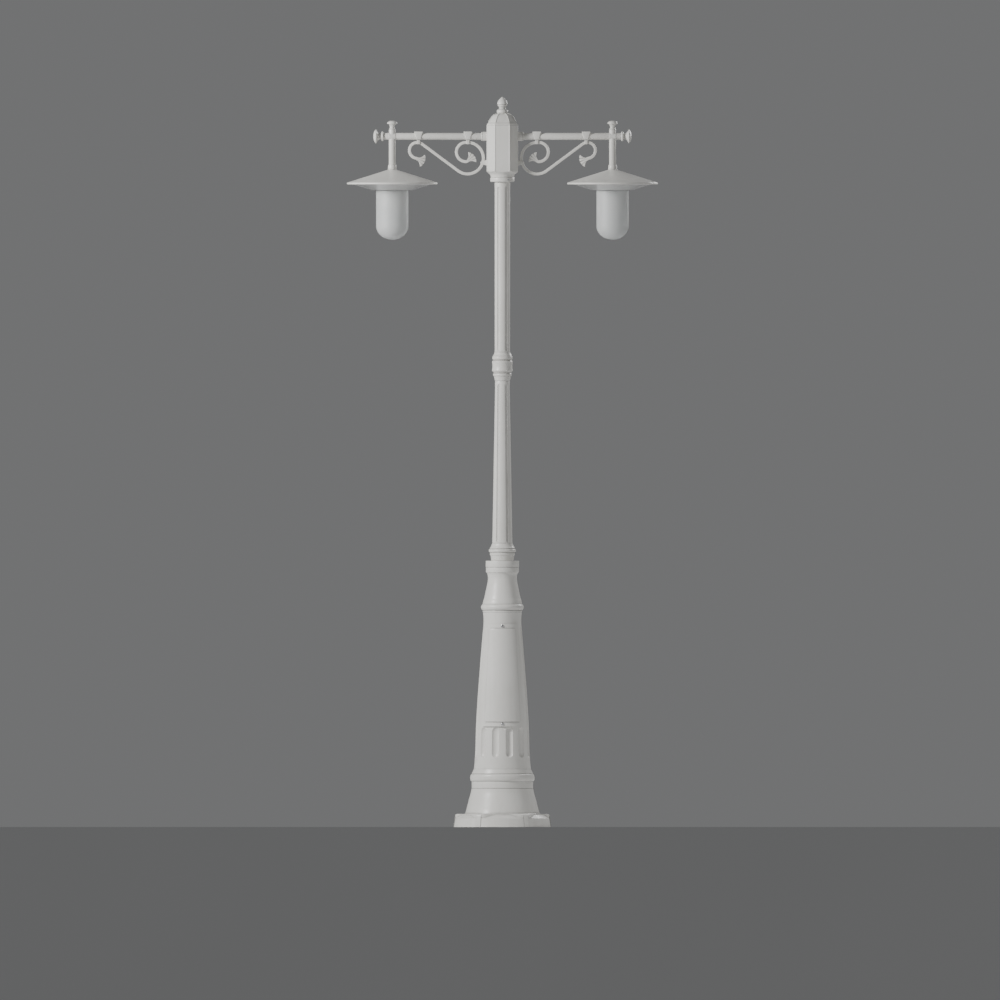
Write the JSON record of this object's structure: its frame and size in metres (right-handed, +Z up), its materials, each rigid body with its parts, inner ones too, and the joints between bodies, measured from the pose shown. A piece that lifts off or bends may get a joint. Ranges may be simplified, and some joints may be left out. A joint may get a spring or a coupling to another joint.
{
  "type": "street lamp post",
  "caption": "Classical post with a lobed plinth, fluted pedestal with an inspection door, fluted column, eight-sided hub and arms with scrolls, cone shades and glass jars.",
  "frame": {"origin": "on the ground, on the column's axis", "axes": "+Z up the column, +X along the right arm, -Y is the front with the inspection door"},
  "size_m": [0.98, 0.3072, 2.3],
  "materials": {
    "powder_coat": "satin powder coat on cast aluminium",
    "stainless_steel": "plain stainless",
    "zinc_plate": "zinc plated",
    "rubber_seal": "matte",
    "ceramic": null,
    "moulded_plastic": "moulded",
    "white_enamel": "gloss white enamel",
    "frosted_glass": "satin-frosted",
    "bulb_glass": "opal"
  },
  "bodies": {
    "post": {"base_plinth": "powder_coat", "anchor_bolt_1": "zinc_plate", "anchor_bolt_2": "zinc_plate", "anchor_bolt_3": "zinc_plate", "anchor_bolt_4": "zinc_plate", "pedestal_body": "powder_coat", "door_gasket": "rubber_seal", "wiring_tray": "zinc_plate", "terminal_block": "moulded_plastic", "fuse_carrier": "moulded_plastic", "earth_stud": "zinc_plate", "pedestal_cap": "powder_coat", "lower_capital": "powder_coat", "lower_shaft": "powder_coat", "mid_coupling": "powder_coat", "joint_sleeve": "zinc_plate", "upper_shaft": "powder_coat"},
    "door": {"door_cover": "powder_coat", "door_screw_top": "stainless_steel", "door_screw_bottom": "stainless_steel"},
    "head": {"pole_collar": "powder_coat", "set_screw_1": "stainless_steel", "set_screw_2": "stainless_steel", "hub_body": "powder_coat", "right_arm_tube": "powder_coat", "right_arm_collar": "powder_coat", "right_end_finial": "powder_coat", "right_stem_pipe": "powder_coat", "right_stem_cap": "powder_coat", "right_scroll": "powder_coat", "right_outer_clamp": "powder_coat", "right_inner_clamp": "powder_coat", "right_scroll_lug": "powder_coat", "right_stem_socket": "powder_coat", "right_shade": "powder_coat", "right_dish": "white_enamel", "right_glass_gallery": "powder_coat", "right_glass_seal": "rubber_seal", "right_lamp_holder": "ceramic", "left_arm_tube": "powder_coat", "left_arm_collar": "powder_coat", "left_end_finial": "powder_coat", "left_stem_pipe": "powder_coat", "left_stem_cap": "powder_coat", "left_scroll": "powder_coat", "left_outer_clamp": "powder_coat", "left_inner_clamp": "powder_coat", "left_scroll_lug": "powder_coat", "left_stem_socket": "powder_coat", "left_shade": "powder_coat", "left_dish": "white_enamel", "left_glass_gallery": "powder_coat", "left_glass_seal": "rubber_seal", "left_lamp_holder": "ceramic"},
    "dome": {"hub_dome": "powder_coat", "hub_finial": "powder_coat"},
    "right_jar": {"right_glass_jar": "frosted_glass"},
    "right_lamp": {"right_bulb": "bulb_glass"},
    "left_jar": {"left_glass_jar": "frosted_glass"},
    "left_lamp": {"left_bulb": "bulb_glass"}
  },
  "joints": [
    {"name": "head_turn", "type": "hinge", "parent": "post", "child": "head", "pos_m": [0, 0, 2.04], "axis": [0, 0, 1], "range_deg": [-180, 180]},
    {"name": "door_off", "type": "slide", "parent": "post", "child": "door", "axis": [0, -1, 0], "range_m": [0, 0.12]},
    {"name": "dome_lift", "type": "slide", "parent": "head", "child": "dome", "axis": [0, 0, 1], "range_m": [0, 0.08]},
    {"name": "right_jar_lower", "type": "slide", "parent": "head", "child": "right_jar", "axis": [0, 0, -1], "range_m": [0, 0.12]},
    {"name": "right_bulb_turn", "type": "hinge", "parent": "head", "child": "right_lamp", "pos_m": [0.347, 0, 2.03], "axis": [0, 0, 1], "continuous": true},
    {"name": "left_jar_lower", "type": "slide", "parent": "head", "child": "left_jar", "axis": [0, 0, -1], "range_m": [0, 0.12]},
    {"name": "left_bulb_turn", "type": "hinge", "parent": "head", "child": "left_lamp", "pos_m": [-0.347, 0, 2.03], "axis": [0, 0, 1], "continuous": true}
  ]
}
